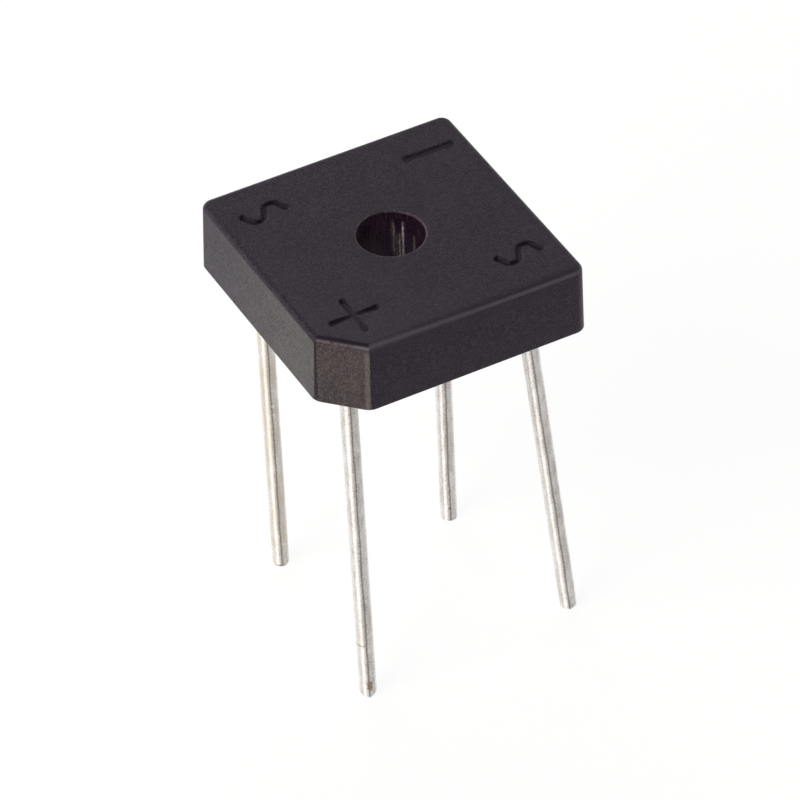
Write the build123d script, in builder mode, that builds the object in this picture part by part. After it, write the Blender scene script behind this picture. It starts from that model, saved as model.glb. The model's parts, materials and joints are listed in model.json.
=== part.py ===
from build123d import *
import os
from math import atan, cos, hypot, radians, sin, sqrt, tan

# Bridge rectifier in a square moulded case with a screw hole and four wire leads.
# Millimetres and degrees. The origin is on the screw hole's axis, in the plane of the case's open rim.
# +Z points from the leads to the top face. The plus lead stands at the chamfered corner, towards -X -Y.

# Case
body_side = 15.24
body_height = 4.23
wall_draft_angle = 1.6
wall_thickness = 0.8
roof_thickness = 0.9
plus_chamfer = 2.16
corner_radius = 0.72
chamfer_edge_radius = 0.25
room_corner_radius = 0.3
top_edge_radius = 0.4
hole_diameter = 3.65
hole_edge_chamfer = 0.1
tube_wall = 0.8

# Epoxy fill
potting_recess = 0.35
meniscus_climb = 0.2
meniscus_angle = 45

# Leads
lead_diameter = 0.97
lead_inset = 2.375
lead_length = 21.85
lead_bend_radius = 2.0
lead_tip_radius = 0.3
lead_stand_up = 0.35
lead_roof_gap = 0.3
lead_set_turn = -2.43

# How far each lead leans out of upright, in degrees along X and along Y
positive_x_lean_angle = 0.48
positive_y_lean_angle = -2.61
negative_x_lean_angle = 0.07
negative_y_lean_angle = -2.18
ac_a_x_lean_angle = 1.25
ac_a_y_lean_angle = 0.19
ac_b_x_lean_angle = 6.94
ac_b_y_lean_angle = -0.11

# Copper strips
strip_thickness = 0.4
strip_width = 1.6
strip_hole_gap = 0.06
paddle_side = 2.3
strip_corner_chamfer = 0.2

# Dice and solder
die_side = 2.0
die_thickness = 0.3
die_bevel = 0.12
solder_thickness = 0.08
solder_margin = 0.06
fillet_reach = 0.24
fillet_climb = 0.28

# Worked out from the sizes above
half_side = body_side / 2
ceiling = body_height - roof_thickness
hole_radius = hole_diameter / 2
tube_radius = hole_radius + tube_wall
lead_radius = lead_diameter / 2
lead_offset = half_side - lead_inset
strip_hole_radius = lead_radius + strip_hole_gap
strip_outer = lead_offset + strip_width / 2
die_offset = strip_outer - paddle_side / 2
solder_side = die_side - 2 * die_bevel - 2 * solder_margin

# Levels, from the upper strips' top face down to the lower strips' bottom face
upper_strip_top = ceiling - lead_roof_gap - lead_stand_up
upper_strip_bottom = upper_strip_top - strip_thickness
die_top = upper_strip_bottom - solder_thickness
die_bottom = die_top - die_thickness
lower_strip_top = die_bottom - solder_thickness
lower_strip_bottom = lower_strip_top - strip_thickness

# The diagonal that runs from the plus corner through the screw hole
plus_diagonal = Axis((0, 0, 0), (1, 1, 0))

# The corners, anticlockwise from +X +Y: name, level of the strip's bottom, lean along X, lean along Y
corners = (
    ("negative", upper_strip_bottom, negative_x_lean_angle, negative_y_lean_angle),
    ("ac_a", lower_strip_bottom, ac_a_x_lean_angle, ac_a_y_lean_angle),
    ("positive", upper_strip_bottom, positive_x_lean_angle, positive_y_lean_angle),
    ("ac_b", lower_strip_bottom, ac_b_x_lean_angle, ac_b_y_lean_angle),
)

# The square's sides, anticlockwise from +X: whether the die's bevelled anode faces down
anodes_down = (False, False, True, True)


def case_outline(inset, corner, edge):
    """The case's square with its plus corner cut off, drawn this far inside the outer walls."""
    side = body_side - 2 * inset
    leg = plus_chamfer - (2 - sqrt(2)) * inset
    with BuildSketch() as outline:
        Rectangle(side, side)
        chamfer(outline.vertices().sort_by(plus_diagonal)[0], leg)
        fillet(outline.vertices().sort_by(plus_diagonal)[2:], corner)
        fillet(outline.vertices().sort_by(plus_diagonal)[:2], edge)
    return outline.sketch


def turned_plane(quarter_turns, level):
    """A level plane that is turned about the screw hole with the lead set."""
    turn = radians(90 * quarter_turns + lead_set_turn)
    return Plane(origin=(0, 0, level), x_dir=(cos(turn), sin(turn), 0), z_dir=(0, 0, 1))


def write_piece(piece, name):
    """Labels a finished piece and writes its file."""
    piece.label = name
    export_step(piece, f"parts/{name}.step")


os.makedirs("parts", exist_ok=True)

room_outline = case_outline(wall_thickness, room_corner_radius, room_corner_radius)

# Moulded case: drafted walls and roof, open below, with a tube round the screw hole
with BuildPart() as case_shell:
    extrude(case_outline(0, corner_radius, chamfer_edge_radius), amount=body_height, taper=wall_draft_angle)
    fillet(case_shell.faces().sort_by(Axis.Z)[-1].edges(), top_edge_radius)
    extrude(room_outline, amount=ceiling, taper=wall_draft_angle, mode=Mode.SUBTRACT)
    with BuildSketch():
        Circle(tube_radius)
    extrude(amount=ceiling, taper=-wall_draft_angle)
    Hole(hole_radius)
    top_face = case_shell.faces().sort_by(Axis.Z)[-1]
    chamfer(top_face.inner_wires()[0].edges(), hole_edge_chamfer)
write_piece(case_shell.part, "case_shell")

inner_pieces = []
lead_exits = []

for quarter_turns, (name, strip_bottom, lean_x, lean_y) in enumerate(corners):
    strip_top = strip_bottom + strip_thickness
    lead_top = strip_top + lead_stand_up

    # Stamped copper strip: a round pad at the lead and an arm to a square paddle at each of two dice
    arm_length = lead_offset
    arm_places = (
        Location((arm_length / 2, lead_offset, 0)),
        Location((lead_offset, arm_length / 2, 0), (0, 0, 90)),
    )
    with BuildPart() as strip:
        with BuildSketch(turned_plane(quarter_turns, strip_bottom)) as strip_outline:
            with Locations((lead_offset, lead_offset)):
                Circle(strip_width / 2)
            with Locations(*arm_places):
                Rectangle(arm_length, strip_width)
            with Locations((0, die_offset), (die_offset, 0)):
                Rectangle(paddle_side, paddle_side)
            off_the_pad = strip_outline.vertices().filter_by(
                lambda vertex: hypot(vertex.X - lead_offset, vertex.Y - lead_offset)
                > (strip_width + strip_corner_chamfer) / 2
            )
            chamfer(off_the_pad, strip_corner_chamfer)
            with Locations((lead_offset, lead_offset)):
                Circle(strip_hole_radius, mode=Mode.SUBTRACT)
        extrude(amount=strip_thickness)
    write_piece(strip.part, f"strip_{name}")
    inner_pieces.append(strip.part)

    # Wire lead: upright through the strip and the epoxy, bent at the rim, then straight to its tip
    exit_point = turned_plane(quarter_turns, 0).from_local_coords((lead_offset, lead_offset, 0))
    lead_exits.append((exit_point.X, exit_point.Y))
    lean = atan(hypot(tan(radians(lean_x)), tan(radians(lean_y))))
    tip_rise = lead_tip_radius * (1 - cos(lean)) + (lead_radius - lead_tip_radius) * sin(lean)
    tip_depth = lead_length - tip_rise
    tip_step = Vector(tan(radians(lean_x)), tan(radians(lean_y)), -1) * tip_depth
    with BuildPart() as lead:
        with BuildLine() as route:
            FilletPolyline(
                (exit_point.X, exit_point.Y, lead_top),
                exit_point,
                exit_point + tip_step,
                radius=lead_bend_radius,
            )
        with BuildSketch(Plane(origin=(exit_point.X, exit_point.Y, lead_top), z_dir=(0, 0, -1))):
            Circle(lead_radius)
        sweep(path=route.wires()[0])
        fillet(lead.faces().sort_by(Axis.Z)[0].edges(), lead_tip_radius)
    write_piece(lead.part, f"lead_{name}")
    inner_pieces.append(lead.part)

    # Solder that fills the hole round the wire and climbs it in a cone on the strip's top
    section = Plane(origin=(exit_point.X, exit_point.Y, 0), x_dir=(1, 0, 0), z_dir=(0, -1, 0))
    with BuildPart() as joint:
        with BuildSketch(section):
            with BuildLine():
                Polyline(
                    (lead_radius, strip_top + fillet_climb),
                    (lead_radius, strip_bottom),
                    (strip_hole_radius, strip_bottom),
                    (strip_hole_radius, strip_top),
                    (strip_hole_radius + fillet_reach, strip_top),
                    close=True,
                )
            make_face()
        revolve(axis=Axis((exit_point.X, exit_point.Y, 0), (0, 0, 1)))
    write_piece(joint.part, f"joint_{name}")
    inner_pieces.append(joint.part)

for quarter_turns, anode_down in enumerate(anodes_down):
    number = quarter_turns + 1

    # Silicon die: bevelled on its anode side, which faces down on the two dice of the plus strip
    with BuildPart() as die:
        with BuildSketch(turned_plane(quarter_turns, die_bottom)):
            with Locations((die_offset, 0)):
                Rectangle(die_side, die_side)
        extrude(amount=die_thickness)
        anode = die.faces().sort_by(Axis.Z)[0 if anode_down else -1]
        chamfer(anode.edges(), die_bevel)
    write_piece(die.part, f"die_{number}")
    inner_pieces.append(die.part)

    # Solder under and over the die
    for place, level in (("lower", lower_strip_top), ("upper", die_top)):
        with BuildPart() as solder:
            with BuildSketch(turned_plane(quarter_turns, level)):
                with Locations((die_offset, 0)):
                    Rectangle(solder_side, solder_side)
            extrude(amount=solder_thickness)
        write_piece(solder.part, f"solder_{place}_{number}")
        inner_pieces.append(solder.part)

# Cast epoxy that fills the case round everything inside. Its surface lies inside the rim and climbs
# a little up the walls, the tube and the leads.
climb_level = potting_recess - meniscus_climb
with BuildPart() as potting_fill:
    extrude(room_outline, amount=ceiling, taper=wall_draft_angle)
    with BuildSketch():
        Circle(tube_radius)
    extrude(amount=ceiling, taper=-wall_draft_angle, mode=Mode.SUBTRACT)
    split(bisect_by=Plane.XY.offset(climb_level), keep=Keep.TOP)
    underside = potting_fill.faces().sort_by(Axis.Z)[0]
    with BuildSketch(Plane.XY.offset(climb_level)):
        add(underside)
        with Locations(*lead_exits):
            Circle(lead_radius, mode=Mode.SUBTRACT)
    extrude(amount=meniscus_climb, taper=meniscus_angle, mode=Mode.SUBTRACT)
    for piece in inner_pieces:
        add(piece, mode=Mode.SUBTRACT)
write_piece(potting_fill.part, "potting_fill")
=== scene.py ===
import math

import bmesh
import bpy
from mathutils import Matrix, Vector, noise
from mathutils.geometry import delaunay_2d_cdt
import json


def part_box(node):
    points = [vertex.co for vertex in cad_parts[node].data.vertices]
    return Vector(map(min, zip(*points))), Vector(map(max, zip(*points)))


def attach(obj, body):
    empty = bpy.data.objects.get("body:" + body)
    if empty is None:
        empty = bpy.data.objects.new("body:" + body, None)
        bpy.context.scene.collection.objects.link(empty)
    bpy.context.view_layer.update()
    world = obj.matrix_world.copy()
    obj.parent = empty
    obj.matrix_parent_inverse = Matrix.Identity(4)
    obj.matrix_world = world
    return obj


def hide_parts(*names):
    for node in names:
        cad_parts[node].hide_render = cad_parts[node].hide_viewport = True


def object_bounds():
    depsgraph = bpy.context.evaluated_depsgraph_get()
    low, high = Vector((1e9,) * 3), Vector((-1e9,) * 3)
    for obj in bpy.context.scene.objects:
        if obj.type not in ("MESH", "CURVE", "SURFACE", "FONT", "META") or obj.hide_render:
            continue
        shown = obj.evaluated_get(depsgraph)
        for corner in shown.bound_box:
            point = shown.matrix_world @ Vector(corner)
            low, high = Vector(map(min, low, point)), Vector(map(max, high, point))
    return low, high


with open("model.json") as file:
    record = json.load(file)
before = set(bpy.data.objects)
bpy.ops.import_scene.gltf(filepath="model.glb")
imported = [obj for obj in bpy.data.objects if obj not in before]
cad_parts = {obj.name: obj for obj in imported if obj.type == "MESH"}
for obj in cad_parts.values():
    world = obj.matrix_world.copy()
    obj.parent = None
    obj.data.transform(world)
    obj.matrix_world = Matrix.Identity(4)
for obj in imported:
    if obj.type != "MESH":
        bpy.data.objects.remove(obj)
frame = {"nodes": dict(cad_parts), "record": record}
cad_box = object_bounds()
mounts = {mount["name"]: mount for mount in frame["record"]["mounts"]}

# Lengths are in millimetres. Each mesh is turned into metres at its end, and the materials, which see
# places in metres, multiply their lengths by this.
MM = 0.001

# The case, from the frame and from the moulding's own small radii
case_low, case_high = (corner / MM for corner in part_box("case_shell"))
body_side = case_high.x - case_low.x
body_height = case_high.z
half_side = body_side / 2
wall_draft = math.radians(1.6)
wall_thickness = 0.8
roof_thickness = 0.9
plus_chamfer = 2.16
corner_radius = 0.72
chamfer_edge_radius = 0.25
room_corner_radius = 0.3
smallest_corner = 0.06
top_edge_radius = 0.4
top_rim_margin = 0.08
foot_edge_radius = 0.05
foot_corner_radius = 0.9
foot_corner_height = 0.7
hole_radius = mounts["screw_hole"]["dims"]["r_mm"]
hole_edge_radius = 0.1
hole_rim_margin = 0.06
bore_levels = (3.0, 2.0, 1.0, 0.0)
tube_wall = 0.8

# How many steps the case's small radii and the worn stretch above its foot are made in
foot_edge_steps = 3
foot_corner_steps = 4
top_edge_steps = 9
hole_edge_steps = 4

# The camera, solved from the photograph's outline of the case
picture_side = 800
focal_pixels = 5509.9
camera_azimuth = math.radians(-28.028)
camera_elevation = math.radians(41.367)
camera_roll = math.radians(1.349)
camera_distance = 292.31
camera_shift_right = -0.400
camera_shift_up = 5.576
sensor_width = 36.0
clip_start = 10.0
clip_end = 10000.0

# The polarity marks: how far their centres lie from the hole's axis, their reach, stroke and depth
mark_offset = 4.93
mark_reach = 1.27
mark_stroke = 0.125
minus_stroke = 0.2
mark_depth = 0.14
mark_fade = 1.6
mark_end_swell = 0.3
mark_unevenness = 0.22
mark_unevenness_scale = 7
mark_patch_margin = 0.56
mark_grid_step = 0.035

# The wave of the sign for alternating current
wave_reach = 1.18
wave_height = 0.54
wave_end_phase = 1.06 * math.pi
wave_fullness = 1.5
wave_steps = 12

# How deep the worn marks are, as shares of the full depth. The plus is worn at its middle and along one arm.
minus_share = 0.55
plus_share = 0.85
plus_middle_share = 0.3
plus_share_rise = 0.65
plus_arm_wear = 0.5
plus_arm_start = 0.1
plus_arm_end = 0.5


def case_ring(inset, corner, edge, steps=8):
    """The case's outline this far inside its foot, anticlockwise from above, with rounded corners."""
    half = half_side - inset
    leg = plus_chamfer - (2 - math.sqrt(2)) * inset
    corners = (
        (half, half, corner),
        (-half, half, corner),
        (-half, -half + leg, edge),
        (-half + leg, -half, edge),
        (half, -half, corner),
    )
    ring = []
    for index, (x, y, radius) in enumerate(corners):
        here = Vector((x, y))
        before = Vector(corners[index - 1][:2])
        after = Vector(corners[(index + 1) % len(corners)][:2])
        arriving = (here - before).normalized()
        leaving = (after - here).normalized()
        start = math.atan2(-arriving.x, arriving.y)
        turn = arriving.angle(leaving)
        centre = here - arriving * radius * math.tan(turn / 2) + Vector((-arriving.y, arriving.x)) * radius
        for step in range(steps + 1):
            angle = start + turn * step / steps
            ring.append(centre + Vector((math.cos(angle), math.sin(angle))) * radius)
    return ring


def circle_ring(radius, count=96):
    """A circle about the hole's axis, anticlockwise from above."""
    angles = [2 * math.pi * step / count for step in range(count)]
    return [Vector((radius * math.cos(angle), radius * math.sin(angle))) for angle in angles]


def add_ring(mesh, ring, level):
    """A ring of vertices at this level."""
    return [mesh.verts.new((point.x, point.y, level)) for point in ring]


def bridge(mesh, lower, upper, material=0):
    """Quads between two rings of as many points. They face away from the axis where the rings run
    anticlockwise and the second lies above the first."""
    count = len(lower)
    for index in range(count):
        after = (index + 1) % count
        face = mesh.faces.new((lower[index], lower[after], upper[after], upper[index]))
        face.material_index = material


def outline_at(inset, level):
    """The outer skin's outline at this inset and level. Each corner's radius shrinks by the inset, and the
    chamfer's edges are worn rounder near the foot."""
    corner = max(corner_radius - inset, smallest_corner)
    wear = max(0.0, 1 - level / foot_corner_height) ** 2
    edge = chamfer_edge_radius + (foot_corner_radius - chamfer_edge_radius) * wear
    return case_ring(inset, corner, max(edge - inset, smallest_corner))


def inside(point, ring):
    """Whether a point lies inside a closed ring."""
    hit = False
    for index, here in enumerate(ring):
        before = ring[index - 1]
        if (here.y > point.y) != (before.y > point.y):
            cross = (before.x - here.x) * (point.y - here.y) / (before.y - here.y) + here.x
            hit = hit != (point.x < cross)
    return hit


def fill_between(mesh, outer, holes, upwards=True):
    """Triangles of a level face from an outer ring of vertices to the rings that it leaves open."""
    rings = [outer] + holes
    verts = [vert for ring in rings for vert in ring]
    edges = []
    start = 0
    for ring in rings:
        edges += [(start + i, start + (i + 1) % len(ring)) for i in range(len(ring))]
        start += len(ring)
    flat = [Vector((vert.co.x, vert.co.y)) for vert in verts]
    points, _, triangles, origins, _, _ = delaunay_2d_cdt(flat, edges, [], 0, 1e-6)
    outer_flat = [Vector((vert.co.x, vert.co.y)) for vert in outer]
    holes_flat = [[Vector((vert.co.x, vert.co.y)) for vert in ring] for ring in holes]
    for triangle in triangles:
        middle = sum((points[corner] for corner in triangle), Vector((0, 0))) / 3
        if not inside(middle, outer_flat) or any(inside(middle, ring) for ring in holes_flat):
            continue
        corners = [verts[origins[corner][0]] for corner in triangle]
        if not upwards:
            corners.reverse()
        mesh.faces.new(corners)


def distance_to_stretch(point, start, end):
    """How far a point lies from a straight stretch, and how far along it its foot is, from 0 to 1."""
    along = end - start
    share = max(0.0, min(1.0, (point - start).dot(along) / along.length_squared))
    return (point - start - along * share).length, share


def minus_lines():
    """The minus, a line along X."""
    return [[Vector((-mark_reach, 0)), Vector((mark_reach, 0))]]


def plus_lines():
    """The plus, lines along X and Y."""
    return minus_lines() + [[Vector((0, -mark_reach)), Vector((0, mark_reach))]]


def wave_lines():
    """One wave of the sign for alternating current: a sine whose trough and crest are broad and round."""
    line = []
    for step in range(-wave_steps, wave_steps + 1):
        phase = wave_end_phase * step / wave_steps
        height = wave_height * math.tanh(wave_fullness * math.sin(phase)) / math.tanh(wave_fullness)
        line.append(Vector((wave_reach * step / wave_steps, height)))
    return [line]


def nearest_stretch(point, lines):
    """How far a point lies from a mark's lines, and how near its foot is to its line's end, from 0 to 1."""
    nearest = (math.inf, 0.0)
    for line in lines:
        stretches = len(line) - 1
        for index in range(stretches):
            away, share = distance_to_stretch(point, line[index], line[index + 1])
            if away < nearest[0]:
                nearest = (away, abs(2 * (index + share) / stretches - 1))
    return nearest


def groove_depth(place, away, along, stroke):
    """How deep a mark is this far from its line: a soft groove, heavier at its ends, with uneven edges."""
    swell = 1 + mark_end_swell * along**4
    uneven = noise.noise(Vector((place.x, place.y, 0)) * mark_unevenness_scale) * mark_unevenness
    reach = max(0.0, away / (stroke * swell) + uneven)
    if reach > mark_fade:
        return 0.0
    return mark_depth * swell * (1 / (1 + reach**4) - 1 / (1 + mark_fade**4))


def wave_wear(point):
    """The waves have their full depth."""
    return 1.0


def minus_wear(point):
    """The minus is evenly shallow."""
    return minus_share


def plus_wear(point):
    """The plus is shallower at its middle and along its arm towards -Y."""
    down_arm = (-point.y - plus_arm_start) / (plus_arm_end - plus_arm_start)
    worn = plus_arm_wear * max(0.0, min(1.0, down_arm))
    return min(plus_share, plus_middle_share + plus_share_rise * point.length) * (1 - worn)


# Each mark's centre, lines, stroke and wear
marks = (
    (Vector((mark_offset + 0.12, mark_offset + 0.07)), minus_lines(), minus_stroke, minus_wear),
    (Vector((-mark_offset - 0.03, mark_offset - 0.06)), wave_lines(), mark_stroke, wave_wear),
    (Vector((-mark_offset + 0.09, -mark_offset + 0.08)), plus_lines(), mark_stroke, plus_wear),
    (Vector((mark_offset + 0.07, -mark_offset + 0.15)), wave_lines(), mark_stroke, wave_wear),
)


def add_mark(mesh, centre, lines, stroke, wear):
    """A fine patch of the top face that holds one sunk mark. Returns the patch's border, anticlockwise."""
    half_count = math.ceil((mark_reach + mark_patch_margin) / mark_grid_step)
    cells = range(-half_count, half_count)
    corners = {}

    def corner(column, row):
        """The grid's vertex at this column and row, made where it is first asked for."""
        if (column, row) not in corners:
            point = Vector((column, row)) * mark_grid_step
            place = centre + point
            depth = groove_depth(place, *nearest_stretch(point, lines), stroke) * wear(point)
            corners[column, row] = mesh.verts.new((place.x, place.y, body_height - depth))
        return corners[column, row]

    kept = set()
    for column in cells:
        for row in cells:
            middle = Vector((column + 0.5, row + 0.5)) * mark_grid_step
            if nearest_stretch(middle, lines)[0] < mark_patch_margin:
                kept.add((column, row))
    onwards = {}
    for column, row in sorted(kept):
        around = ((column, row), (column + 1, row), (column + 1, row + 1), (column, row + 1))
        mesh.faces.new([corner(*place) for place in around])
        neighbours = ((column, row - 1), (column + 1, row), (column, row + 1), (column - 1, row))
        for side, neighbour in enumerate(neighbours):
            if neighbour not in kept:
                onwards[around[side]] = around[(side + 1) % 4]
    start = min(onwards)
    border = [start]
    while onwards[border[-1]] != start:
        border.append(onwards[border[-1]])
    return [corners[place] for place in border]


def finish_mesh(mesh, name, materials, sharp_angle=math.radians(32)):
    """Turns a mesh in millimetres into an object in metres, smooth but for its sharp edges."""
    bmesh.ops.scale(mesh, vec=(MM, MM, MM), verts=mesh.verts)
    mesh.normal_update()
    for face in mesh.faces:
        face.smooth = True
    for edge in mesh.edges:
        edge.smooth = edge.calc_face_angle(math.pi) < sharp_angle
    data = bpy.data.meshes.new(name)
    mesh.to_mesh(data)
    mesh.free()
    for material in materials:
        data.materials.append(material)
    piece = bpy.data.objects.new(name, data)
    bpy.context.scene.collection.objects.link(piece)
    return piece


def quarter_steps(start, steps):
    """Angles from the start up to a quarter turn, in even steps."""
    return [start + (math.pi / 2 - start) * step / steps for step in range(steps + 1)]


def skin_section():
    """The outer skin's section from the foot to the top face: how far inside the foot, and the level."""
    slope = math.tan(wall_draft)
    section = []
    for angle in quarter_steps(0, foot_edge_steps):
        section.append((foot_edge_radius * (1 - math.sin(angle)), foot_edge_radius * (1 - math.cos(angle))))
    for step in range(1, foot_corner_steps + 1):
        level = foot_corner_height * step / foot_corner_steps
        section.append((level * slope, level))
    arc_level = body_height - top_edge_radius
    arc_inset = arc_level * slope + top_edge_radius / math.cos(wall_draft)
    for angle in quarter_steps(wall_draft, top_edge_steps):
        inset = arc_inset - top_edge_radius * math.cos(angle)
        section.append((inset, arc_level + top_edge_radius * math.sin(angle)))
    section.append((arc_inset + top_rim_margin, body_height))
    return section


def hole_edge_section():
    """The hole's edge from the top face down to the bore: the radius and the level."""
    section = [(hole_radius + hole_edge_radius + hole_rim_margin, body_height)]
    for angle in quarter_steps(0, hole_edge_steps):
        radius = hole_radius + hole_edge_radius * (1 - math.sin(angle))
        section.append((radius, body_height - hole_edge_radius * (1 - math.cos(angle))))
    return section


def build_room(mesh, bore_foot, skin_foot):
    """The room under the roof: the foot's rim, the inner walls, the ceiling and the tube round the bore."""
    slope = math.tan(wall_draft)
    ceiling = body_height - roof_thickness
    tube_radius = hole_radius + tube_wall
    tube_foot = add_ring(mesh, circle_ring(tube_radius), 0)
    tube_top = add_ring(mesh, circle_ring(tube_radius + ceiling * slope), ceiling)
    bridge(mesh, bore_foot[::-1], tube_foot[::-1])
    bridge(mesh, tube_foot, tube_top)
    room_foot = add_ring(mesh, case_ring(wall_thickness, room_corner_radius, room_corner_radius), 0)
    room_inset = wall_thickness + ceiling * slope
    room_top = add_ring(mesh, case_ring(room_inset, room_corner_radius, room_corner_radius), ceiling)
    fill_between(mesh, room_top, [tube_top], upwards=False)
    bridge(mesh, room_top, room_foot)
    bridge(mesh, room_foot, skin_foot)


def build_case(materials):
    """The moulded case: drafted skin, rounded top edge, marks, bore and the room inside."""
    mesh = bmesh.new()
    skin = [add_ring(mesh, outline_at(inset, level), level) for inset, level in skin_section()]
    for lower, upper in zip(skin, skin[1:]):
        bridge(mesh, lower, upper)
    hole_edge = [add_ring(mesh, circle_ring(radius), level) for radius, level in hole_edge_section()]
    for upper, lower in zip(hole_edge, hole_edge[1:]):
        bridge(mesh, upper[::-1], lower[::-1])
    bore = hole_edge[-1:] + [add_ring(mesh, circle_ring(hole_radius), level) for level in bore_levels]
    for upper, lower in zip(bore, bore[1:]):
        bridge(mesh, upper[::-1], lower[::-1], material=1)
    borders = [add_mark(mesh, *mark) for mark in marks]
    fill_between(mesh, skin[-1], hole_edge[:1] + borders)
    build_room(mesh, bore[-1], skin[0])
    return finish_mesh(mesh, "case_body", materials)


# The leads' meshes. Their walls are a little uneven, and their seams face away from the plus corner.
lead_segments = 48
lead_angles = [2 * math.pi * step / lead_segments for step in range(lead_segments)]
lead_ring_step = 0.25
lead_bend_radius = 2.0
lead_bend_steps = 6
lead_unevenness = 0.006
lead_unevenness_scale = 0.35
lead_unevenness_shift = 0.05
last_ring_gap = 0.05
end_ring_shares = (1.0, 0.97, 0.92, 0.86, 0.78, 0.68, 0.55, 0.4, 0.22)
end_fitting_rounds = 4
tip_clearance = 0.001
seam_direction = Vector((1, 1, 0)).normalized()
down = Vector((0, 0, -1))


def across_wire(direction):
    """Two directions across a wire. The first, where its seam runs, points away from the plus corner."""
    first = (seam_direction - direction * seam_direction.dot(direction)).normalized()
    return first, direction.cross(first)


def bend_stations(exit_point, axis, top):
    """Places and directions down a wire's middle line, from its upright top to the end of its bend."""
    lean = axis.angle(down)
    side = Vector((axis.x, axis.y, 0)).normalized()
    turn_axis = down.cross(axis).normalized()
    start = Vector((exit_point.x, exit_point.y, lead_bend_radius * math.tan(lean / 2)))
    stations = [(Vector((exit_point.x, exit_point.y, top)), down)]
    for step in range(lead_bend_steps + 1):
        angle = lean * step / lead_bend_steps
        place = start + side * lead_bend_radius * (1 - math.cos(angle))
        place = place + down * lead_bend_radius * math.sin(angle)
        direction = down.copy()
        direction.rotate(Matrix.Rotation(angle, 3, turn_axis))
        stations.append((place, direction))
    return stations


class WireEnd:
    """A lead's straight stretch and its cut end. The stretch is as long as it takes for the lowest point of
    the end to lie at the tip's level."""

    def __init__(self, start, axis, radius, form, turn, tip_level):
        self.start = start
        self.axis = axis
        self.radius = radius
        self.form = form
        self.turn = turn
        self.right, self.up = across_wire(axis)
        self.length = (start.z - tip_level) / -axis.z
        for _ in range(end_fitting_rounds):
            lowest = min(self.place(tenth / 10, angle).z for tenth in range(11) for angle in lead_angles)
            self.length += (lowest - tip_level) / -axis.z

    def drop(self, across, angle):
        """How far the end's surface falls short of its tip at this share of the radius."""
        return self.form(across, angle - self.turn) * self.radius

    def place(self, across, angle):
        """A point of the end's surface, at this share of the radius and this angle round the wire."""
        outward = self.right * math.cos(angle) + self.up * math.sin(angle)
        reach = self.length - self.drop(across, angle)
        return self.start + self.axis * reach + outward * self.radius * across

    def wall_length(self):
        """How far the wire's wall runs down before the end's first ring."""
        return self.length - max(self.drop(1.0, angle) for angle in lead_angles) - last_ring_gap


def wall_ring(mesh, place, direction, radius):
    """A ring of vertices on the wire's slightly uneven wall."""
    first, second = across_wire(direction)
    ring = []
    for angle in lead_angles:
        outward = first * math.cos(angle) + second * math.sin(angle)
        spot = Vector((place.z * lead_unevenness_scale, math.cos(angle), math.sin(angle)))
        wobble = noise.noise(spot + place * lead_unevenness_shift)
        ring.append(mesh.verts.new(place + outward * (radius - lead_unevenness + lead_unevenness * wobble)))
    return ring


def cover_wire(mesh, layer, rings, lengths, cap, tip, tip_length):
    """Faces between the rings and over both ends. Their map holds how far down the wire each corner lies, and
    its share of the turn from the seam."""

    def add_face(corners, values):
        """A face with these corners and these values in the map."""
        face = mesh.faces.new(corners)
        for loop, value in zip(face.loops, values):
            loop[layer].uv = value

    sides = []
    for here in range(lead_segments):
        after = (here + 1) % lead_segments
        sides.append((here, after, here / lead_segments, (here + 1) / lead_segments))
    for row, (upper, lower) in enumerate(zip(rings, rings[1:])):
        above, below = lengths[row], lengths[row + 1]
        for here, after, near, far in sides:
            corners = (upper[here], upper[after], lower[after], lower[here])
            add_face(corners, ((above, near), (above, far), (below, far), (below, near)))
    last = lengths[-1]
    for here, after, near, far in sides:
        add_face((rings[-1][here], rings[-1][after], tip), ((last, near), (last, far), (tip_length, near)))
        add_face((rings[0][after], rings[0][here], cap), ((0, far), (0, near), (0, near)))


def build_lead(name, end_form, end_turn, materials):
    """A wire lead: upright in the epoxy, bent at the rim, straight to its cut end."""
    low, high = (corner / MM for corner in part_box(name))
    mount = mounts[name + "_wire"]
    axis = Vector(mount["axis"])
    middle = Vector(mount["pos_m"]) / MM
    radius = mount["dims"]["r_mm"]
    stations = bend_stations(middle - axis * (middle.z / axis.z), axis, high.z)
    end = WireEnd(stations[-1][0], axis, radius, end_form, end_turn, low.z + tip_clearance)
    wall_length = end.wall_length()
    ring_count = round(wall_length / lead_ring_step)
    for step in range(1, ring_count + 1):
        stations.append((end.start + axis * wall_length * step / ring_count, axis))

    mesh = bmesh.new()
    layer = mesh.loops.layers.uv.new("wire")
    rings = [wall_ring(mesh, place, direction, radius) for place, direction in stations]
    lengths = [0.0]
    for (before, _), (here, _) in zip(stations, stations[1:]):
        lengths.append(lengths[-1] + (here - before).length)
    wall_end = lengths[-1] + last_ring_gap
    for share in end_ring_shares:
        rings.append([mesh.verts.new(end.place(share, angle)) for angle in lead_angles])
        lengths.append(wall_end + (1 - share) * radius)
    tip = mesh.verts.new(end.place(0.0, 0.0))
    cap = mesh.verts.new(stations[0][0])
    cover_wire(mesh, layer, rings, lengths, cap, tip, wall_end + radius)
    return finish_mesh(mesh, name + "_wire", materials, sharp_angle=math.radians(50))


def round_rim(across, width):
    """How far a rim this wide, rounded like a circle, falls short of the tip at this share of the radius."""
    rim = max(0.0, (across - (1 - width)) / width)
    return width * (1 - math.sqrt(max(0.0, 1 - rim**2)))


def flat_end(across, angle, bevel_start=0.72, bevel_slope=0.75):
    """A sawn end with a narrow bevel all round."""
    return max(0.0, across - bevel_start) * bevel_slope


def domed_end(across, angle):
    """A dome with a small flat in its middle."""
    return round_rim(across, 0.75)


def rounded_end(across, angle):
    """A dome with a still smaller flat."""
    return round_rim(across, 0.8)


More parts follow.
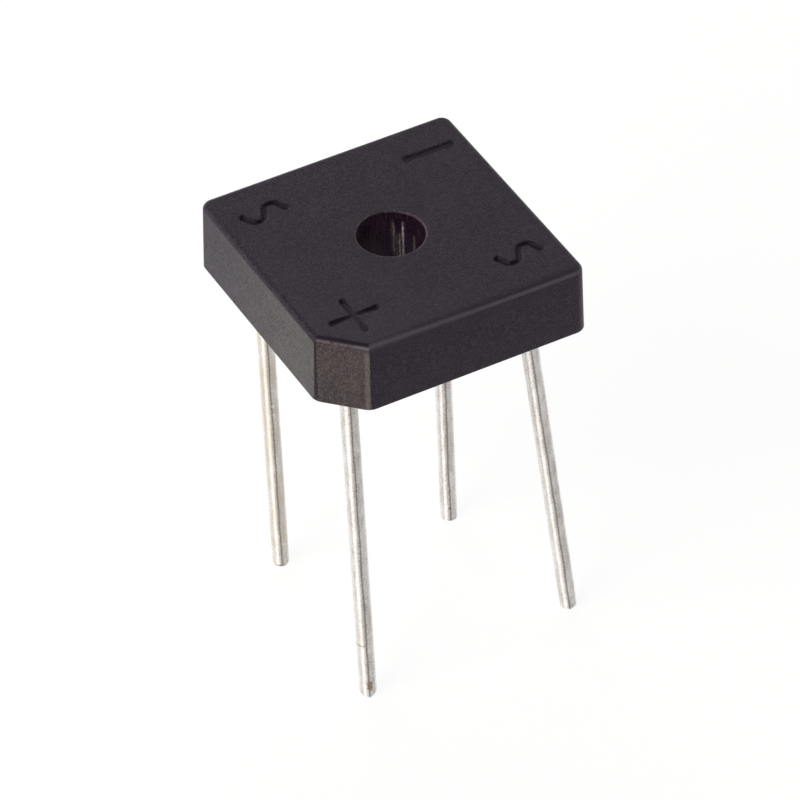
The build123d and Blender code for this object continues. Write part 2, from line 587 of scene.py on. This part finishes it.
def chisel_end(across, angle, bluntness=0.15, slope=0.5):
    """An end nipped from two sides, which leaves a blunt ridge across the wire."""
    off_ridge = abs(across * math.cos(angle))
    ridge = math.sqrt(off_ridge**2 + bluntness) - math.sqrt(bluntness)
    return slope * ridge + round_rim(across, 0.4)


# Materials

def add_node(tree, kind, values=None, links=None, **settings):
    """A shader node with its settings, its sockets' values and what its sockets are linked to."""
    made = tree.nodes.new(kind)
    for key, value in settings.items():
        setattr(made, key, value)
    for key, value in (values or {}).items():
        made.inputs[key].default_value = value
    for key, socket in (links or {}).items():
        tree.links.new(socket, made.inputs[key])
    return made


def new_material(name, constants):
    """A material with a principled shader, and that shader's constant sockets."""
    material = bpy.data.materials.new(name)
    material.use_nodes = True
    tree = material.node_tree
    tree.nodes.clear()
    shader = add_node(tree, "ShaderNodeBsdfPrincipled", constants)
    add_node(tree, "ShaderNodeOutputMaterial", links={"Surface": shader.outputs["BSDF"]})
    return material, tree, shader


def grain(tree, place, size_mm, detail=2.0, stretch=None):
    """Noise with blobs of about this size. A stretch lengthens the blobs along the axes."""
    if stretch is not None:
        scale = {"Scale": tuple(1 / factor for factor in stretch)}
        place = add_node(tree, "ShaderNodeMapping", scale, {"Vector": place}).outputs["Vector"]
    values = {"Scale": 1 / (size_mm * MM), "Detail": detail, "Roughness": 0.55}
    return add_node(tree, "ShaderNodeTexNoise", values, {"Vector": place}).outputs["Fac"]


def spread(tree, source, low, high, source_low=0.3, source_high=0.7):
    """A value taken from one range, or from the one that noise mostly fills, to another."""
    values = {"From Min": source_low, "From Max": source_high, "To Min": low, "To Max": high}
    return add_node(tree, "ShaderNodeMapRange", values, {"Value": source}).outputs["Result"]


def rise(tree, source, start, end):
    """A mask that is 0 on the start's side and 1 on the end's."""
    return spread(tree, source, 0.0, 1.0, start, end)


def fall(tree, source, start, end):
    """A mask that is 1 on the start's side and 0 on the end's."""
    return spread(tree, source, 1.0, 0.0, start, end)


def combine(tree, operation, first, second=0):
    """Arithmetic on two sockets, or on a socket and a number."""
    made = add_node(tree, "ShaderNodeMath", operation=operation)
    for index, term in enumerate((first, second)):
        if isinstance(term, (int, float)):
            made.inputs[index].default_value = term
        else:
            tree.links.new(term, made.inputs[index])
    return made.outputs["Value"]


def overlap(tree, first, *others):
    """Where all of these masks are 1: their product."""
    for other in others:
        first = combine(tree, "MULTIPLY", first, other)
    return first


def elsewhere(tree, mask):
    """Where a mask is 0."""
    return combine(tree, "SUBTRACT", 1, mask)


def mixture(tree, *shares):
    """The sum of sockets, each times its share."""
    terms = [combine(tree, "MULTIPLY", source, share) for source, share in shares]
    total = terms[0]
    for term in terms[1:]:
        total = combine(tree, "ADD", total, term)
    return total


def apart(tree, first, second):
    """How far two values are apart."""
    return combine(tree, "ABSOLUTE", combine(tree, "SUBTRACT", first, second))


def band(tree, source, rise_from, rise_to, fall_from, fall_to):
    """A mask that is 1 where the value lies between its rise and its fall."""
    return overlap(tree, rise(tree, source, rise_from, rise_to), fall(tree, source, fall_from, fall_to))


def split(tree, vector):
    """A vector's X, Y and Z."""
    return add_node(tree, "ShaderNodeSeparateXYZ", links={"Vector": vector}).outputs


def vector_math(tree, operation, first, second=(0, 0, 0)):
    """Arithmetic on a vector and a constant one."""
    made = add_node(tree, "ShaderNodeVectorMath", {1: second}, {0: first}, operation=operation)
    return made.outputs["Value" if operation == "LENGTH" else "Vector"]


def shade(tree, factor, stops):
    """A colour ramp from a list of places and colours."""
    ramp = add_node(tree, "ShaderNodeValToRGB", links={"Fac": factor})
    while len(ramp.color_ramp.elements) < len(stops):
        ramp.color_ramp.elements.new(0.5)
    for element, (place, colour) in zip(ramp.color_ramp.elements, stops):
        element.position = place
        element.color = (*colour, 1.0)
    return ramp.outputs["Color"]


def paint(tree, colour, mask, tone):
    """A tone painted over a colour where the mask is 1."""
    values = {7: (*tone, 1.0)}
    return add_node(tree, "ShaderNodeMix", values, {0: mask, 6: colour}, data_type="RGBA").outputs[2]


def object_place(tree):
    """Places on the piece, in metres."""
    return add_node(tree, "ShaderNodeTexCoord").outputs["Object"]


def dress(tree, shader, colour, roughness, height, depth_mm):
    """Links a shader's colour, its roughness, and its bump of this depth from a height between 0 and 1."""
    tree.links.new(colour, shader.inputs["Base Color"])
    tree.links.new(roughness, shader.inputs["Roughness"])
    bump = add_node(tree, "ShaderNodeBump", {"Strength": 1.0, "Distance": depth_mm * MM}, {"Height": height})
    tree.links.new(bump.outputs["Normal"], shader.inputs["Normal"])


# The moulding's tones: its grain's and the rubbed chamfer's as ramps, and what is painted over them
moulding_tones = (
    (0.43, (0.0006, 0.0002, 0.0008)),
    (0.5, (0.0075, 0.003, 0.0095)),
    (0.57, (0.032, 0.019, 0.035)),
)
chamfer_tones = ((0.4, (0.028, 0.020, 0.018)), (0.5, (0.058, 0.0475, 0.044)), (0.6, (0.098, 0.083, 0.077)))
near_plus_tone = (0.045, 0.036, 0.047)
# A painted sheen on the wall towards -X, paler towards its plus end
wall_sheen_tone = (0.080, 0.071, 0.067)
# A painted highlight along the chamfer's -Y edge
chamfer_edge_highlight_tone = (0.150, 0.125, 0.118)
# Painted light on the top edge, and a painted highlight line in it
top_edge_light_tone = (0.046, 0.041, 0.051)
top_edge_highlight_tone = (0.122, 0.114, 0.138)
# A painted shade line over the chamfer's top edge, and a painted highlight below it
chamfer_top_shade_tone = (0.014, 0.010, 0.015)
chamfer_rim_highlight_tone = (0.115, 0.100, 0.098)
# A painted highlight on the hole's rounded edge
hole_edge_highlight_tone = (0.085, 0.070, 0.072)
# Painted shade in the marks' grooves
groove_shade_tone = (0.006, 0.001, 0.006)


# Where the moulding's masks lie: the case's border, the hole's surroundings, and how wide their edges are
border_width = 0.8
hole_margin = 0.4
mask_fade = 0.1


class MouldingSkin:
    """The sockets that the moulding's masks are made of: its grain, its places and the ways it faces."""

    def __init__(self, tree):
        coordinates = add_node(tree, "ShaderNodeTexCoord")
        place = coordinates.outputs["Object"]
        self.tree = tree
        self.at = split(tree, place)
        self.facing = split(tree, coordinates.outputs["Normal"])
        self.fine = grain(tree, place, 0.08, 3.0)
        self.coarse = grain(tree, place, 0.3, 2.0)
        broad = grain(tree, place, 1.8, 3.0)
        self.blend = mixture(tree, (self.fine, 0.7), (self.coarse, 0.2), (broad, 0.1))
        self.ragged = spread(tree, self.blend, 0.3, 1.0, 0.42, 0.55)
        self.find_zones()

    def find_zones(self):
        """Where on the case a place is. Across the chamfer is from -1 at its -Y edge to 1 at its -X edge."""
        tree = self.tree
        x, y = self.at["X"], self.at["Y"]
        self.diagonal = combine(tree, "ADD", x, y)
        self.by_chamfer = rise(tree, self.diagonal, -0.77 * body_side * MM, -0.79 * body_side * MM)
        across = combine(tree, "SUBTRACT", y, x)
        self.across_chamfer = combine(tree, "MULTIPLY", across, 1 / (plus_chamfer * MM))
        self.upper = rise(tree, self.at["Z"], 0.5 * body_height * MM, 0.6 * body_height * MM)
        outermost = combine(tree, "MAXIMUM", combine(tree, "ABSOLUTE", x), combine(tree, "ABSOLUTE", y))
        border_start = half_side - border_width
        self.border = rise(tree, outermost, border_start * MM, (border_start + mask_fade) * MM)
        flat = add_node(tree, "ShaderNodeCombineXYZ", links={"X": x, "Y": y}).outputs["Vector"]
        self.from_axis = vector_math(tree, "LENGTH", flat)


def top_near_plus(skin):
    """The top face, a little paler towards the plus corner."""
    level_face = rise(skin.tree, skin.facing["Z"], 0.9, 0.98)
    return overlap(skin.tree, level_face, spread(skin.tree, skin.diagonal, 0.25, 0.0, -11.0 * MM, -3.0 * MM))


def painted_wall_sheen(skin):
    """The wall towards -X, with a painted sheen that is strongest at its plus end."""
    on_wall = fall(skin.tree, skin.facing["X"], -0.998, -0.97)
    towards_plus = fall(skin.tree, skin.at["Y"], -0.4 * half_side * MM, 0.8 * half_side * MM)
    return overlap(skin.tree, on_wall, towards_plus, skin.ragged)


def chamfer_face(skin):
    """The chamfer's flat face, but for a strip by its -X edge, left as plain dark moulding for a painted
    shade line.
    """
    tree = skin.tree
    towards_plus = combine(tree, "MULTIPLY", combine(tree, "ADD", skin.facing["X"], skin.facing["Y"]), -1)
    facing_plus = rise(tree, towards_plus, 1.2, 1.3)
    upright = fall(tree, skin.facing["Z"], 0.6, 0.76)
    between_edges = band(tree, skin.across_chamfer, -1.1, -1.0, 0.86, 0.93)
    return overlap(tree, skin.by_chamfer, between_edges, facing_plus, upright)


def paint_chamfer(skin, colour):
    """The chamfer is rubbed paler and warmer, with a painted highlight along a line by its -Y edge."""
    tree = skin.tree
    face = chamfer_face(skin)
    warm = shade(tree, skin.blend, chamfer_tones)
    rubbed = add_node(tree, "ShaderNodeMix", links={0: face, 6: colour, 7: warm}, data_type="RGBA").outputs[2]
    by_edge = band(tree, skin.across_chamfer, -1.0, -0.96, -0.86, -0.76)
    return paint(tree, rubbed, overlap(tree, by_edge, face, skin.ragged), chamfer_edge_highlight_tone)


def paint_top_edge(skin, colour):
    """The top edge is painted paler, as painted light, but for the stretch over the wall towards -X. The
    painted highlight line in it sinks lower towards +X."""
    tree = skin.tree
    off_wall = rise(tree, skin.at["X"], -(half_side - 0.5) * MM, -(half_side - 0.9) * MM)
    patchy = spread(tree, skin.blend, 0.65, 1.0)
    rounding = band(tree, skin.facing["Z"], 0.08, 0.25, 0.95, 1.0)
    edge = overlap(tree, skin.upper, skin.border, off_wall, patchy, rounding)
    sinking = spread(tree, skin.at["X"], -0.14, 0.11, -5.0 * MM, 3.0 * MM)
    tilt = combine(tree, "ADD", skin.facing["Z"], sinking)
    line = overlap(tree, edge, band(tree, tilt, 0.22, 0.52, 0.64, 0.88))
    return paint(tree, paint(tree, colour, edge, top_edge_light_tone), line, top_edge_highlight_tone)


def paint_over_chamfer(skin, colour):
    """Over the chamfer, the top edge has a painted shade line and a painted highlight below it."""
    tree = skin.tree
    askew = apart(tree, skin.facing["X"], skin.facing["Y"])
    zone = overlap(tree, skin.by_chamfer, fall(tree, askew, 0.12, 0.3), skin.upper)
    shaded_line = overlap(tree, zone, band(tree, skin.facing["Z"], 0.7, 0.78, 0.98, 0.99))
    rim = overlap(tree, zone, band(tree, skin.facing["Z"], 0.4, 0.5, 0.66, 0.76), skin.ragged)
    return paint(tree, paint(tree, colour, shaded_line, chamfer_top_shade_tone), rim, chamfer_rim_highlight_tone)


def hole_edge_mask(skin):
    """The hole's rounded edge, where a pale line is painted as a highlight."""
    tree = skin.tree
    near_hole = fall(tree, skin.from_axis, (hole_radius + 0.09) * MM, (hole_radius + 0.13) * MM)
    facing_up = rise(tree, skin.facing["Z"], 0.3, 0.6)
    return overlap(tree, near_hole, skin.upper, facing_up, skin.ragged)


def sunk_mask(skin):
    """The marks' floors: what lies just below the top face's level, away from its borders and the hole."""
    tree = skin.tree
    hole_start = hole_radius + hole_margin
    off_hole = rise(tree, skin.from_axis, hole_start * MM, (hole_start + mask_fade) * MM)
    levels = [(body_height - depth) * MM for depth in (0.4, 0.35, 0.05, 0.01)]
    sunk = band(tree, skin.at["Z"], *levels)
    inner_face = overlap(tree, off_hole, elsewhere(tree, skin.border), elsewhere(tree, skin.by_chamfer))
    return overlap(tree, sunk, inner_face, spread(tree, skin.coarse, 0.5, 1.0))


def moulding_material():
    """Near-black moulding compound with a fine grain. The chamfer's face is rubbed paler and warmer. The wall
    beside it has a painted sheen, the edges and the hole's edge painted highlights and shade lines, and the
    marks' grooves painted shade."""
    constants = {"Specular IOR Level": 0.24, "Specular Tint": (1.0, 0.84, 1.06, 1.0)}
    material, tree, shader = new_material("case_moulding", constants)
    skin = MouldingSkin(tree)
    colour = shade(tree, skin.blend, moulding_tones)
    colour = paint(tree, colour, top_near_plus(skin), near_plus_tone)
    colour = paint(tree, colour, painted_wall_sheen(skin), wall_sheen_tone)
    colour = paint_chamfer(skin, colour)
    colour = paint_top_edge(skin, colour)
    colour = paint_over_chamfer(skin, colour)
    colour = paint(tree, colour, hole_edge_mask(skin), hole_edge_highlight_tone)
    sunk = sunk_mask(skin)
    # Painted shade darkens the marks' floors, which are also rougher
    colour = paint(tree, colour, sunk, groove_shade_tone)
    rough = combine(tree, "ADD", spread(tree, skin.blend, 0.47, 0.32), combine(tree, "MULTIPLY", sunk, 0.2))
    dress(tree, shader, colour, rough, skin.fine, 0.024)
    return material


# The bore's tones, with a paler tone painted as light on its side towards +Y and -X, and its painted
# highlight
# # streaks: angle and half width in degrees, paleness, and the levels of foot and head
bore_tones = ((0.42, (0.002, 0.0004, 0.002)), (0.5, (0.014, 0.0045, 0.013)), (0.58, (0.040, 0.017, 0.037)))
bore_side_light_tone = (0.105, 0.052, 0.094)
highlight_streaks = (
    (59.5, 4.5, 0.07, 1.6, 3.4),
    (57.4, 2.8, 0.22, 1.3, 3.2),
    (52.5, 2.4, 0.12, 0.9, 2.6),
    (47.6, 2.5, 0.36, 0.9, 2.5),
    (41.8, 2.7, 0.52, 1.2, 3.3),
    (20.0, 3.6, 0.14, 1.3, 2.7),
    (91.8, 4.5, 0.05, 1.5, 2.8),
)


def highlight_streak_mask(tree, angle, height, degrees, half_width, foot, head):
    """A painted highlight streak down the bore that fades at its sides, its foot and its head."""
    side = math.radians(half_width)
    across = fall(tree, apart(tree, angle, math.radians(degrees)), 0.35 * side, side)
    above_foot = rise(tree, height, (foot - 0.25) * MM, (foot + 0.25) * MM)
    below_head = fall(tree, height, (head - 0.1) * MM, (head + 0.35) * MM)
    return overlap(tree, across, above_foot, below_head)


def bore_material():
    """The bore's wall: dark, with fine axial drag marks, a side painted paler as light, and a few pale
    streaks painted as highlights.
    """
    constants = {"Specular IOR Level": 0.11, "Specular Tint": (1.0, 0.62, 0.92, 1.0)}
    material, tree, shader = new_material("case_bore", constants)
    at = split(tree, object_place(tree))
    angle = combine(tree, "ARCTAN2", at["Y"], at["X"])
    around = combine(tree, "MULTIPLY", angle, hole_radius * MM)
    wall = add_node(tree, "ShaderNodeCombineXYZ", links={"X": around, "Z": at["Z"]}).outputs["Vector"]
    drag = grain(tree, wall, 0.09, 3.0, stretch=(1.0, 1.0, 14.0))
    speck = grain(tree, wall, 0.1, 2.0)
    mottle = mixture(tree, (drag, 0.5), (speck, 0.5))
    colour = shade(tree, mottle, bore_tones)
    # Painted light: the side towards +Y and -X is painted paler
    on_left = rise(tree, angle, math.radians(60), math.radians(125))
    colour = paint(tree, colour, overlap(tree, on_left, rise(tree, mottle, 0.42, 0.55)), bore_side_light_tone)
    breaks = spread(tree, grain(tree, wall, 0.12, 4.0, stretch=(0.5, 1.0, 2.4)), 0.1, 1.0, 0.38, 0.58)
    # Painted highlights: pale streaks down the wall
    for degrees, half_width, pale, foot, head in highlight_streaks:
        streak = highlight_streak_mask(tree, angle, at["Z"], degrees, half_width, foot, head)
        colour = paint(tree, colour, overlap(tree, streak, breaks), (pale, pale * 0.88, pale * 0.9))
    dress(tree, shader, colour, spread(tree, drag, 0.42, 0.6), drag, 0.008)
    return material


def on_wire(name, depth, turn):
    """A point on a wire's surface at this depth below the rim, turned to the right of the camera's side."""
    mount = mounts[name + "_wire"]
    axis = Vector(mount["axis"])
    middle = Vector(mount["pos_m"]) / MM
    centre = middle - axis * ((middle.z + depth) / axis.z)
    facing = camera_azimuth + math.radians(turn)
    return centre + Vector((math.sin(facing), -math.cos(facing), 0)) * mount["dims"]["r_mm"]


# The wires' tones, where their painted dark reflection line runs as a share of the turn from the seam, and
# the
# # small pale, dark and brown spots on them: place, reach, how flat they lie along the wire, and tone
tin_tones = ((0.37, (0.65, 0.60, 0.56)), (0.5, (0.85, 0.82, 0.79)), (0.62, (0.95, 0.935, 0.915)))
tarnish_tone = (0.82, 0.735, 0.62)
dark_reflection_tone = (0.42, 0.36, 0.32)
dark_reflection_turn = 0.422
wire_spots = (
    (on_wire("lead_positive", 20.9, 16), 0.17, 0.35, (0.42, 0.31, 0.23)),
    (on_wire("lead_positive", 18.0, -35), 0.45, 7.0, (0.50, 0.45, 0.41)),
    (on_wire("lead_ac_a", 9.6, 22), 0.13, 0.8, (1.0, 1.0, 0.98)),
    (on_wire("lead_ac_a", 10.2, 22), 0.09, 1.0, (1.0, 1.0, 0.98)),
    (on_wire("lead_ac_a", 21.62, 0), 0.42, 2.6, (0.46, 0.40, 0.36)),
    (on_wire("lead_negative", 20.8, 10), 0.09, 1.0, (0.30, 0.24, 0.20)),
)


def spot_mask(tree, place, fine, centre, reach, flatness):
    """A round or flattened spot with a ragged edge."""
    offset = vector_math(tree, "SUBTRACT", place, tuple(centre * MM))
    scale = (1 / (reach * MM), 1 / (reach * MM), flatness / (reach * MM))
    distance = vector_math(tree, "LENGTH", vector_math(tree, "MULTIPLY", offset, scale))
    return fall(tree, combine(tree, "ADD", distance, spread(tree, fine, -0.3, 0.3)), 0.7, 1.0)


def dark_reflection_line(tree, place, fine):
    """A painted dark reflection: a fine line down the wire that wanders a little and has ragged sides."""
    turn = split(tree, add_node(tree, "ShaderNodeUVMap", uv_map="wire").outputs["UV"])["Y"]
    wandering = combine(tree, "ADD", turn, spread(tree, grain(tree, place, 2.5, 1.0), -0.008, 0.008))
    away = combine(tree, "ADD", apart(tree, wandering, dark_reflection_turn), spread(tree, fine, -0.006, 0.006))
    return fall(tree, away, 0.008, 0.022)


def left_lead_tarnish(tree, place, blend):
    """Patches of tarnish on the lead towards -X +Y."""
    at = split(tree, place)
    towards_left = fall(tree, at["X"], -2.0 * MM, -1.0 * MM)
    towards_back = rise(tree, at["Y"], 1.0 * MM, 2.0 * MM)
    return overlap(tree, towards_left, towards_back, spread(tree, blend, 0.9, 0.0, 0.42, 0.58))


def wire_material():
    """Tinned copper wire: satin along its length, with a painted dark reflection line, small pale, dark and
    brown spots and faint brown tarnish.
    """
    material, tree, shader = new_material("tinned_wire", {"Metallic": 1.0, "Anisotropic": 1.0})
    tangent = add_node(tree, "ShaderNodeTangent", direction_type="UV_MAP", uv_map="wire")
    tree.links.new(tangent.outputs["Tangent"], shader.inputs["Tangent"])
    place = object_place(tree)
    fine = grain(tree, place, 0.09, 3.0)
    patches = grain(tree, place, 0.45, 3.0, stretch=(1.0, 1.0, 3.0))
    blend = mixture(tree, (fine, 0.6), (patches, 0.4))
    colour = shade(tree, blend, tin_tones)
    colour = paint(tree, colour, left_lead_tarnish(tree, place, blend), tarnish_tone)
    # A painted dark reflection line down each wire
    colour = paint(tree, colour, dark_reflection_line(tree, place, fine), dark_reflection_tone)
    for centre, reach, flatness, tone in wire_spots:
        colour = paint(tree, colour, spot_mask(tree, place, fine, centre, reach, flatness), tone)
    dress(tree, shader, colour, spread(tree, blend, 0.46, 0.34), blend, 0.012)
    return material


def epoxy_material():
    """Cast black epoxy with a soft gloss and a faint orange-peel surface."""
    material, tree, shader = new_material("epoxy_fill", {"Specular IOR Level": 0.45})
    place = object_place(tree)
    swell = grain(tree, place, 1.2, 2.0)
    fine = grain(tree, place, 0.15, 2.0)
    colour = shade(tree, fine, ((0.3, (0.014, 0.014, 0.015)), (0.7, (0.024, 0.024, 0.025))))
    height = mixture(tree, (swell, 1.0), (fine, 0.05))
    dress(tree, shader, colour, spread(tree, swell, 0.24, 0.38), height, 0.05)
    return material


def metal_material(name, dark, light, roughness, size_mm):
    """A cut or melted metal with mottled colour and grain."""
    material, tree, shader = new_material(name, {"Metallic": 1.0})
    blend = grain(tree, object_place(tree), size_mm, 3.0)
    colour = shade(tree, blend, ((0.3, dark), (0.7, light)))
    dress(tree, shader, colour, spread(tree, blend, roughness, roughness + 0.12), blend, 0.004)
    return material


def silicon_material():
    """Sawn silicon: dark, bluish and glossy, with faint saw marks."""
    material, tree, shader = new_material("silicon", {"Metallic": 0.35, "Specular IOR Level": 0.8})
    saw_marks = grain(tree, object_place(tree), 0.05, 2.0, stretch=(1.0, 12.0, 1.0))
    colour = shade(tree, saw_marks, ((0.3, (0.10, 0.11, 0.13)), (0.7, (0.17, 0.18, 0.21))))
    dress(tree, shader, colour, spread(tree, saw_marks, 0.15, 0.3), saw_marks, 0.001)
    return material


# The case and the leads are rebuilt with finer surfaces.
case_body = build_case([moulding_material(), bore_material()])
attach(case_body, "root")
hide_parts("case_shell")

wire = wire_material()
lead_ends = {
    "lead_negative": (flat_end, 0.0),
    "lead_ac_a": (rounded_end, 0.0),
    "lead_positive": (chisel_end, math.radians(68)),
    "lead_ac_b": (domed_end, 0.0),
}
for lead_name, (end_form, end_turn) in lead_ends.items():
    lead = build_lead(lead_name, end_form, end_turn, [wire])
    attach(lead, "root")
    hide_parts(lead_name)

# The other nodes keep their shapes and get their finishes, by the first word of their names.
solder = metal_material("solder", (0.42, 0.42, 0.41), (0.62, 0.62, 0.6), 0.3, 0.12)
finishes = {
    "potting": epoxy_material(),
    "strip": metal_material("copper_strip", (0.55, 0.26, 0.16), (0.78, 0.42, 0.28), 0.3, 0.3),
    "joint": solder,
    "solder": solder,
    "die": silicon_material(),
}
for node_name, node in frame["nodes"].items():
    finish = finishes.get(node_name.split("_")[0])
    if finish is not None:
        node.data.materials.clear()
        node.data.materials.append(finish)

# The floor: half its side in metres, and how white it looks to the camera and in reflections
scene = bpy.context.scene
floor_half = 1.5
floor_seen_share = 0.75
floor_seen_strength = 1.148


def floor_material():
    """A pale floor that looks white to the camera and in reflections, and still keeps the part's shadow.
    Its underside is clear, so that the part can be looked at from below."""
    material = bpy.data.materials.new("floor")
    material.use_nodes = True
    tree = material.node_tree
    tree.nodes.clear()
    path = add_node(tree, "ShaderNodeLightPath").outputs
    seen = combine(tree, "MAXIMUM", path["Is Camera Ray"], path["Is Glossy Ray"])
    seen = combine(tree, "MAXIMUM", seen, path["Is Transmission Ray"])
    lit = add_node(tree, "ShaderNodeBsdfDiffuse", {"Color": (0.8, 0.8, 0.8, 1.0)})
    values = {"Color": (1.0, 1.0, 1.0, 1.0), "Strength": floor_seen_strength}
    white = add_node(tree, "ShaderNodeEmission", values)
    factor = combine(tree, "MULTIPLY", seen, floor_seen_share)
    pale = add_node(tree, "ShaderNodeMixShader", links={0: factor, 1: lit.outputs[0], 2: white.outputs[0]})
    clear = add_node(tree, "ShaderNodeBsdfTransparent")
    behind = add_node(tree, "ShaderNodeNewGeometry").outputs["Backfacing"]
    both = add_node(tree, "ShaderNodeMixShader", links={0: behind, 1: pale.outputs[0], 2: clear.outputs[0]})
    add_node(tree, "ShaderNodeOutputMaterial", links={"Surface": both.outputs[0]})
    return material


def build_floor():
    """A level floor under the leads' tips."""
    mesh = bmesh.new()
    bmesh.ops.create_grid(mesh, x_segments=8, y_segments=8, size=floor_half)
    data = bpy.data.meshes.new("floor")
    mesh.to_mesh(data)
    mesh.free()
    data.materials.append(floor_material())
    made = bpy.data.objects.new("floor", data)
    made.location = (0, 0, cad_box[0].z)
    scene.collection.objects.link(made)
    return made


def softbox(name, azimuth, elevation, distance, width, height, radiance, tint):
    """A soft lamp that looks at the part. Its azimuth is taken from the camera's, in degrees, and its
    lengths are in metres."""
    lamp = bpy.data.lights.new(name, "AREA")
    lamp.shape = "RECTANGLE"
    lamp.size = width
    lamp.size_y = height
    lamp.energy = radiance * math.pi * width * height
    lamp.color = tint
    holder = bpy.data.objects.new(name, lamp)
    turn = camera_azimuth + math.radians(azimuth)
    level = math.radians(elevation)
    away = Vector((math.sin(turn) * math.cos(level), -math.cos(turn) * math.cos(level), math.sin(level)))
    holder.location = away * distance
    holder.rotation_mode = "QUATERNION"
    holder.rotation_quaternion = away.to_track_quat("Z", "Y")
    scene.collection.objects.link(holder)


# Three lamps on the left light the walls and give the wires their bright line. The others fill from behind
# and from the right. Each has its name, azimuth, elevation, distance, width, height, radiance and tint.
lamps = (
    ("front_left", -48, 38, 0.6, 0.4, 0.35, 4.4, (1.0, 0.96, 0.91)),
    ("front", -28, 12, 0.6, 0.4, 0.35, 2.05, (1.0, 0.96, 0.91)),
    ("left", -118, 12, 0.4, 0.9, 0.3, 1.5, (1.0, 0.98, 0.96)),
    ("back", 182, 40, 0.6, 0.6, 0.4, 1.4, (1.0, 1.0, 1.0)),
    ("right", 120, 18, 0.6, 0.4, 0.35, 1.3, (1.0, 1.0, 1.0)),
)
world_strength = 0.08


def build_world():
    """A faint even light from all round."""
    world = bpy.data.worlds.new("studio")
    world.use_nodes = True
    background = world.node_tree.nodes["Background"]
    background.inputs["Color"].default_value = (1.0, 1.0, 1.0, 1.0)
    background.inputs["Strength"].default_value = world_strength
    return world


def build_camera():
    """The photograph's camera: set back from the origin, then moved across its own view."""
    flat_reach = math.cos(camera_elevation)
    back = Vector(
        (
            math.sin(camera_azimuth) * flat_reach,
            -math.cos(camera_azimuth) * flat_reach,
            math.sin(camera_elevation),
        )
    )
    level_right = Vector((math.cos(camera_azimuth), math.sin(camera_azimuth), 0.0))
    level_up = back.cross(level_right)
    right = level_right * math.cos(camera_roll) - level_up * math.sin(camera_roll)
    up = level_right * math.sin(camera_roll) + level_up * math.cos(camera_roll)
    place = back * camera_distance - right * camera_shift_right - up * camera_shift_up
    data = bpy.data.cameras.new("camera")
    data.sensor_width = sensor_width
    data.lens = sensor_width * focal_pixels / picture_side
    data.clip_start = clip_start * MM
    data.clip_end = clip_end * MM
    made = bpy.data.objects.new("camera", data)
    made.matrix_world = Matrix.Translation(place * MM) @ Matrix((right, up, back)).transposed().to_4x4()
    scene.collection.objects.link(made)
    return made


floor = build_floor()
for lamp_values in lamps:
    softbox(*lamp_values)
scene.world = build_world()
scene.camera = build_camera()
scene.view_settings.view_transform = "Standard"
